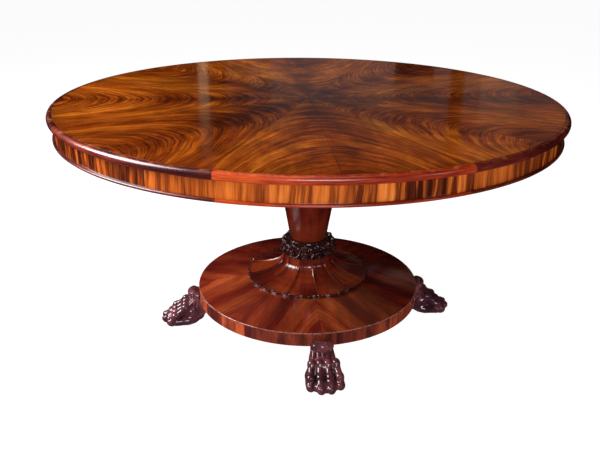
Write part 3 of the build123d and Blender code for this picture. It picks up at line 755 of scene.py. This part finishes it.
def paw_leg(p):
    """The short leg, and the rounded scroll that hooks outward over it."""
    leg = block(p, (362, 0, 66), (20, 33, 42), 13)
    leg = join(leg, ball(p, (394, 0, 42), (34, 42, 32)), 10)
    roll = rod(p, (SCROLL_X, -20, SCROLL_Z), (SCROLL_X, 20, SCROLL_Z), 13, 13)
    roll = join(roll, ball(p, (385, 0, 102), (16, 24, 15)), 5)
    tongue = ball(p, (393, 0, 94), (7, 11, 8))
    off_eye = np.sqrt((p[0] - SCROLL_X) ** 2 + (p[2] - SCROLL_Z) ** 2)
    for side in (-1, 1):
        groove = np.maximum(np.abs(off_eye - SCROLL_GROOVE) - 1.3, 27 - side * p[1])
        roll = carve(roll, groove, 1.4)
    return join(leg, join(roll, tongue, 3), 4)


def paw_hair(p):
    """Pointed locks in front below the scroll, and two swept back on each side of the ankle."""
    locks = []
    for y in LOCKS:
        root, point = (381 - abs(y) * 0.12, y * 0.94, 82), (401 - abs(y) * 0.22, y * 1.12, 66)
        locks.append(rod(p, root, point, 5.4, 3.4))
    for side in (-1, 1):
        for back in (0, 11):
            top, bend = (376 - back, side * 31, 84), (382 - back, side * 35, 62)
            locks.append(rod(p, top, bend, 2.2, 3.4))
            locks.append(rod(p, bend, (372 - back, side * 37, 42), 3.4, 1.8))
    return locks


def paw_toe(p, y, tip):
    """A long toe with two knuckles, a broad pad, and a claw under a short crease."""
    end = y * 1.02
    high, low, pad = (408, y * 0.84, 58), (442, y, 33), (tip - 16, end, 14)
    toe = ball(p, high, (15.5, 12.8, 15.5))
    toe = join(toe, rod(p, high, low, 10.4, 10.4), 4)
    toe = join(toe, ball(p, low, (14.5, 13, 14.5)), 5)
    toe = join(toe, rod(p, low, pad, 11.2, 12), 4)
    toe = join(toe, ball(p, pad, (17, 13.6, 14.6)), 4)
    crease = rod(p, (tip - 8, end - 6, 26.5), (tip - 8, end + 6, 26.5), 2.4, 2.4)
    toe = carve(toe, crease, 1.5)
    return join(toe, ball(p, (tip - 7, end, 16), (7.5, 6.4, 10)), 1.5)


def paw_sole(p):
    """The broad pads behind the toes, smooth flanks, the heel, and the web between the toes."""
    sole = join(ball(p, (372, 0, 18), (24, 27, 20)), ball(p, (446, 0, 13), (34, 46, 20)), 5)
    for side in (-1, 1):
        sole = join(sole, ball(p, (396, side * 24, 26), (36, 22, 30)), 8)
        sole = join(sole, ball(p, (404, side * 31, 16), (36, 23, 17)), 6)
        sole = join(sole, rod(p, (402, side * 40, 14), (440, side * 43, 14), 13, 14), 5)
    return sole


def paw_field(p):
    """The whole foot, cut to the platform, the floor and a flat back."""
    foot = join(paw_leg(p), paw_sole(p), 8)
    for y, tip in TOES:
        foot = join(foot, paw_toe(p, y, tip), 1.5)
    for lock in paw_hair(p):
        foot = join(foot, lock, 1.6)
    x, y, z = p
    under_platform = np.maximum(x - PLATFORM_WALL, PLATFORM_BOTTOM - z)
    foot = np.maximum(foot, -under_platform)
    foot = np.maximum(foot, FOOT_BACK - x)
    return np.maximum(foot, -z)


def paws(material):
    """The same foot four times, one on each diagonal."""
    points, faces = sampled((330, -64, -3), (494, 64, 122), 1.4, paw_field)
    for number in range(4):
        shape = (turned_about(points, 45 + 90 * number), faces)
        node = f"paw_foot_{number + 1}"
        piece(f"carved_paw_{number + 1}", [shape], material, "pedestal", [node], 180)


# The leaf collar: a wreath of scrolls, eyes, leaves and berries

COLLAR_REPEATS = 12
COLLAR_EYE = (86, 0, 251)


def collar_sector(radius, angle, z):
    """One repeat of the wreath, at an angle in radians from its middle."""
    p = (radius * np.cos(angle), radius * np.sin(angle), z)
    out, _, up = (a - c for a, c in zip(p, COLLAR_EYE))
    ring = np.sqrt((np.sqrt(p[1] ** 2 + up ** 2) - 9.0) ** 2 + out ** 2) - 3.4
    eye = ball(p, COLLAR_EYE, (6, 4.4, 4.4))
    sector = np.minimum(ring, eye)
    sweep = smooth_curve([(86, 8, 246), (88, 15, 242), (87, 23, 246), (82, 29, 256), (76, 27, 266)], 7)
    for a, b in zip(sweep[:-1], sweep[1:]):
        sector = join(sector, rod(p, a, b, 3.0, 3.0), 1.0)
    for y_leaf, z_leaf in ((22, 266), (3, 273)):
        leaf = ball(p, (77, y_leaf, z_leaf), (10, 7, 16))
        crease = rod(p, (88, y_leaf, z_leaf + 12), (88, y_leaf, z_leaf - 10), 1.5, 1.5)
        sector = join(sector, carve(leaf, crease, 1.5), 1.2)
    for y_berry, z_berry in ((-7, 276), (-13, 268), (12, 277)):
        sector = join(sector, ball(p, (79, y_berry, z_berry), (6, 5.4, 5.4)), 0.8)
    return sector


def collar_field(p):
    """A plain rounded ring with the wreath over it, bored for the tie rod."""
    x, y, z = p
    radius = np.sqrt(x * x + y * y)
    step = 2 * math.pi / COLLAR_REPEATS
    angle = (np.arctan2(y, x) + step / 2) % step - step / 2
    field = np.sqrt(((radius - 52) / 29) ** 2 + ((z - 258) / 27) ** 2)
    field = (field - 1) * 26
    field = join(field, np.maximum(radius - 66, np.abs(z - 268) - 19), 3)
    for shift in (-step, 0, step):
        field = join(field, collar_sector(radius, angle + shift, z), 1.2)
    field = np.maximum(field, np.maximum(COLLAR_BOTTOM + 0.2 - z, z - COLUMN_BOTTOM + 0.2))
    return np.maximum(field, TIE_ROD_HOLE - radius)


def leaf_collar(material):
    shape = sampled((-99, -99, 233), (99, 99, 290), 1.5, collar_field)
    piece("carved_leaf_collar", [shape], material, "pedestal", ["leaf_collar"], 180)


# The petal base

PETAL_FLARE = ((84, 213), (100, 195), (125, 181.5), (160, 171), (PETAL_RADIUS, 165.8))
PETAL_COLUMNS = 576
PETAL_ROWS = 54
SCALLOPS = 3
SCALLOP_DEPTH = 5.0


def platform_surface(radius):
    """The height of the platform's upper face, level inside its veneered ring."""
    return PLATFORM_RIM_TOP + PLATFORM_SLOPE * (PLATFORM_RADIUS - np.maximum(radius, PLATFORM_FLAT_RADIUS))


def petal_relief(share, r, edge, from_rib):
    """How far the carving stands above the flare, at a share of the way from the neck to the edge."""
    petals = PETALS[1]
    off_rib = r * np.sin(np.radians(from_rib))
    width = r * math.sin(math.radians(180.0 / petals))
    dish = -2.6 * math.sin(math.pi * min(share * 0.9, 1)) ** 0.8 * (1 - (1 - off_rib / width) ** 2)
    rib = 2.0 * np.exp(-(off_rib / 1.5) ** 2) - 0.9 * np.exp(-((off_rib - 3.6) / 1.2) ** 2)
    lip = 2.8 * np.exp(-((edge - r) / 3.4) ** 2) * (share > 0.5)
    knob = np.hypot(off_rib, edge - r - 4.5)
    knob = 4.4 * np.sqrt(np.clip(1 - (knob / 6.0) ** 2, 0, 1)) * (share > 0.5)
    return dish + rib * (0.35 + 0.65 * min(share * 4, 1)) + lip + knob


def petal_base(material):
    """Dished petals between fine ribs that end in knobs, with a rolled and scalloped edge."""
    first, petals = PETALS
    count = PETAL_COLUMNS
    degrees = np.arange(count) * 360.0 / count
    across = ((degrees - first) / 360.0 * petals) % 1.0
    from_rib = np.minimum(across, 1 - across) * 360.0 / petals
    scallop = (across * SCALLOPS) % 1.0
    edge = PETAL_RADIUS + 1.0 - SCALLOP_DEPTH * (1 - (2 * scallop - 1) ** 2)
    flare = smooth_curve([(PETAL_NECK, PETAL_TOP), *PETAL_FLARE], PETAL_ROWS)
    slope = np.gradient(flare, axis=0)
    normal = np.stack([-slope[:, 1], slope[:, 0]], axis=1)
    normal *= np.sign(normal[:, 1:2] + 1e-9) / np.linalg.norm(normal, axis=1, keepdims=True)
    rows = [(np.full(count, r), np.full(count, z)) for r, z in ((BORE_RADIUS, 235.0), (76.0, 235.6))]
    for i, ((r0, z0), (nr, nz)) in enumerate(zip(flare, normal)):
        share = i / (len(flare) - 1)
        r = PETAL_NECK + (r0 - PETAL_NECK) * (edge - PETAL_NECK) / (PETAL_RADIUS - PETAL_NECK)
        rise = petal_relief(share, r, edge, from_rib)
        rows.append((r + nr * rise, z0 + nz * rise))
    last_z = rows[-1][1]
    for drop, grow in ((1.0, 0.9), (2.6, 1.2), (4.2, 0.9)):
        rows.append((edge + grow, last_z - drop))
    rows.append((edge + 0.2, platform_surface(edge + 0.2) + 0.05))
    rows.append((np.full(count, BORE_RADIUS), np.full(count, platform_surface(0.0) + 0.05)))
    r = np.stack([row[0] for row in rows], axis=1)
    z = np.stack([row[1] for row in rows], axis=1)
    turn = np.radians(degrees)[:, None]
    grid = np.stack([r * np.cos(turn), r * np.sin(turn), z], axis=-1)[:, ::-1]
    shape = grid_shape(grid, True)
    piece("carved_petal_base", [shape], material, "pedestal", ["petal_base"], 60)


# Lathed and bent woodwork


def rim_outline():
    """A bullnose with a fine raised fillet inside its upper edge."""
    nose = TOP_RADIUS - (TABLE_TOP - BOARD_BOTTOM) / 2
    middle = (TABLE_TOP + BOARD_BOTTOM) / 2
    return [
        (FIELD_RADIUS + 0.1, BOARD_BOTTOM + 0.1),
        *arc((nose - 2, BOARD_BOTTOM + 0.1), (TOP_RADIUS, middle), (nose - 1.2, TABLE_TOP), 18),
        (nose - 1.9, TABLE_TOP - 0.15),
        (nose - 2.4, TABLE_TOP - 0.9),
        (FIELD_RADIUS + 0.1, TABLE_TOP - 0.5),
    ]


def top_edge(rim, stripes):
    """The lip, the frieze and the bead, each in lengths."""
    for number, (start, sweep) in enumerate(ring_of(RIM_PIECES), 1):
        shape = turned(rim_outline(), start, sweep)
        piece(f"rim_length_{number}", [shape], rim, "top", [f"rim_moulding_{number}"], 50)
    low, high = FRIEZE_BOTTOM, BOARD_BOTTOM
    panel = [(FRIEZE_BACK, low), (FRIEZE_FACE, low), (FRIEZE_FACE, high), (FRIEZE_BACK, high)]
    for number, (start, sweep) in enumerate(ring_of(FRIEZE_PIECES), 1):
        shape = turned(panel, start, sweep)
        node = f"frieze_veneer_{number}"
        piece(f"frieze_panel_{number}", [shape], stripes, "top", [node])
    nose, half, back = BEAD_OUTER - 4.0, (BEAD_BOTTOM + FRIEZE_BOTTOM) / 2, BEAD_OUTER - 24
    bead = [
        (back, BEAD_BOTTOM),
        *arc((nose, BEAD_BOTTOM), (BEAD_OUTER, half), (nose, FRIEZE_BOTTOM), 10),
        (back, FRIEZE_BOTTOM),
    ]
    lengths = [turned(bead, start, sweep) for start, sweep in ring_of((RIM_PIECES[0], 4))]
    piece("frieze_bead_lengths", lengths, rim, "top", ["frieze_bead"], 50)


def platform_skin(platform, edging):
    """The platform's mirrored leaves and its crossbanded edge, both in quarters."""
    skin_low = PLATFORM_RIM_TOP - 2.0
    flat = float(platform_surface(PLATFORM_FLAT_RADIUS))
    leaf = [
        (PLATFORM_FLAT_RADIUS, flat - 2), (PLATFORM_RADIUS, skin_low),
        *arc((PLATFORM_RADIUS, skin_low + 0.5), (PLATFORM_RADIUS - 0.4, PLATFORM_RIM_TOP - 0.5),
             (PLATFORM_RADIUS - 1.5, PLATFORM_RIM_TOP + 0.2), 4),
        (PLATFORM_FLAT_RADIUS, flat),
    ]
    for number in range(1, 5):
        starts = [(number - 1) * 90, (number - 1) * 90 + 45]
        shapes = [turned(leaf, start, 45 - JOINT_GAP_DEGREES) for start in starts]
        node = f"platform_veneer_{number}"
        piece(f"platform_leaves_{number}", shapes, platform, "pedestal", [node], 50)
    strip = [
        (PLATFORM_CORE, PLATFORM_BOTTOM), (PLATFORM_RADIUS - 1, PLATFORM_BOTTOM),
        (PLATFORM_RADIUS, PLATFORM_BOTTOM + 1), (PLATFORM_RADIUS, skin_low), (PLATFORM_CORE, skin_low + 0.4),
    ]
    strips = ring_of(EDGE_PIECES)
    for number in range(1, 5):
        shapes = [turned(strip, start, sweep) for start, sweep in strips[(number - 1) * 6:number * 6]]
        node = f"platform_edge_{number}"
        piece(f"crossband_strips_{number}", shapes, edging, "pedestal", [node])


def polished_column(column):
    """The tapered shaft, its bead and cove under the block, and the head that enters the block."""
    shaft = [
        (TIE_ROD_HOLE, COLUMN_BOTTOM), (57.5, COLUMN_BOTTOM), (59, COLUMN_BOTTOM + 1.5), (117, 622),
        *arc((117, 622.2), (124, 628), (119, 634), 8),
        *arc((119.5, 634.4), (122, 644), (131, 649), 8),
        (131, BLOCK_BOTTOM - 0.2), (40, BLOCK_BOTTOM - 0.2), (40, 700), (TIE_ROD_HOLE, 700),
    ]
    piece("polished_column", [turned(shaft)], column, "pedestal", ["column"], 40)


# Studio


def studio(x, y, z):
    """A place given as right of the camera's line, away from the camera, and up."""
    c, s = math.cos(CAMERA_TURN), math.sin(CAMERA_TURN)
    return Vector((c * x - s * y, s * x + c * y, z))


def soft_light(name, place, target, width, height, radiance, colour):
    """A rectangular light whose face has the given radiance."""
    data = bpy.data.lights.new(name, "AREA")
    data.shape = "RECTANGLE"
    data.size, data.size_y = width, height
    data.energy = 4 * radiance * width * height
    data.color = colour
    light = bpy.data.objects.new(name, data)
    bpy.context.scene.collection.objects.link(light)
    light.location = studio(*place)
    light.rotation_euler = (studio(*target) - light.location).to_track_quat("-Z", "Y").to_euler()


def camera():
    data = bpy.data.cameras.new("camera")
    data.lens = CAMERA_LENS
    data.shift_x = CAMERA_SHIFT
    made = bpy.data.objects.new("camera", data)
    bpy.context.scene.collection.objects.link(made)
    turn = Matrix.Rotation(CAMERA_TURN, 4, "Z") @ Matrix.Rotation(CAMERA_TILT, 4, "X")
    turn = turn @ Matrix.Rotation(CAMERA_ROLL, 4, "Z")
    made.matrix_world = Matrix.Translation(studio(*CAMERA_PLACE)) @ turn
    bpy.context.scene.camera = made


def floor():
    """A plain pale floor, bright enough to read as white, which the polish doesn't mirror."""
    g = Graph("studio_floor")
    tone = g.rise(g.noise(g.place, 0.7, 2.0), 0.3, 0.7, 0.9, 0.94)
    colour = g.dim((0.24, 0.24, 0.24, 1.0), tone)
    g.finish(colour, 0.9, coat=0.0, **{
        "Specular IOR Level": 0.0, "Emission Color": (*WHITE, 1.0), "Emission Strength": BACKDROP,
    })
    mesh = bpy.data.meshes.new("floor")
    corners = [(x * FLOOR_REACH, y * FLOOR_REACH, 0) for x, y in ((-1, -1), (1, -1), (1, 1), (-1, 1))]
    mesh.from_pydata(corners, [], [(0, 1, 2, 3)])
    mesh.materials.append(g.material)
    made = bpy.data.objects.new("floor", mesh)
    bpy.context.scene.collection.objects.link(made)
    made.visible_glossy = False


def cards():
    """Soft screens behind the table, to be seen in its polish."""
    for number, (left, right, foot, glow, colour) in enumerate(CARDS):
        for level, (top, share) in enumerate(CARD_TOPS):
            middle, width, height = (left + right) / 2, right - left, top - foot
            centre = (middle, CARD_DISTANCE, foot + height / 2)
            aim = (middle, 0.0, foot + height / 2)
            soft_light(f"card_{number}_{level}", centre, aim, width, height, glow * share, colour)


def lights():
    """Soft lights, the screens, and a pale background that lights nothing."""
    for light in LIGHTS:
        soft_light(*light)
    cards()
    world = bpy.data.worlds.new("studio_world")
    world.use_nodes = True
    background = world.node_tree.nodes["Background"]
    background.inputs["Color"].default_value = (*WHITE, 1.0)
    background.inputs["Strength"].default_value = BACKDROP
    bpy.context.scene.world = world
    world.cycles_visibility.diffuse = False
    world.cycles_visibility.glossy = False
    bpy.context.scene.view_settings.view_transform = "Standard"


def give(material, slot, *stems):
    """Every node of the frame whose name starts with one of the stems takes this material."""
    for name, node in nodes.items():
        if name.startswith(stems):
            node.data.materials.clear()
            node.data.materials.append(material)


def main():
    camera()
    floor()
    lights()
    carved = carved_mahogany()
    rim = rim_mahogany()
    platform = platform_veneer()
    column = turned_mahogany(
        "column_polish", (0.0, 1), shade(52, 8, 6), shade(84, 17, 9), shade(118, 35, 15), 1.0, 0.22
    )
    petal = turned_mahogany(
        "petal_polish", PETALS, shade(56, 10, 7), shade(92, 21, 10), shade(132, 48, 18), 0.8, 0.17
    )
    plain = plain_wood("plain_mahogany_wax", shade(66, 26, 16), shade(104, 48, 28), "x", 0.25)
    top_edge(rim, striped_veneer())
    platform_skin(platform, edge_veneer())
    polished_column(column)
    petal_base(petal)
    leaf_collar(carved)
    paws(carved)
    pine = plain_wood("old_pine", shade(108, 74, 40), shade(160, 120, 74), "y", 0.0)
    brass = old_metal("aged_brass", shade(206, 160, 88), shade(104, 74, 38), 0.28)
    iron = old_metal("black_iron", shade(70, 66, 62), shade(52, 34, 26), 0.45)
    give(flame_veneer(), "flame_veneer", "top_veneer")
    give(pine, "pine", "top_board", "frieze_bricks", "glue_blocks", "platform_core", "foot_dowels")
    give(plain, "plain_mahogany", "bearer_left", "bearer_right", "top_block")
    give(brass, "brass", "thumb_bolt", "bolt_plates", "bolt_bushes")
    give(iron, "iron", "bearer_screws", "pivot_pins", "tie_rod")


main()
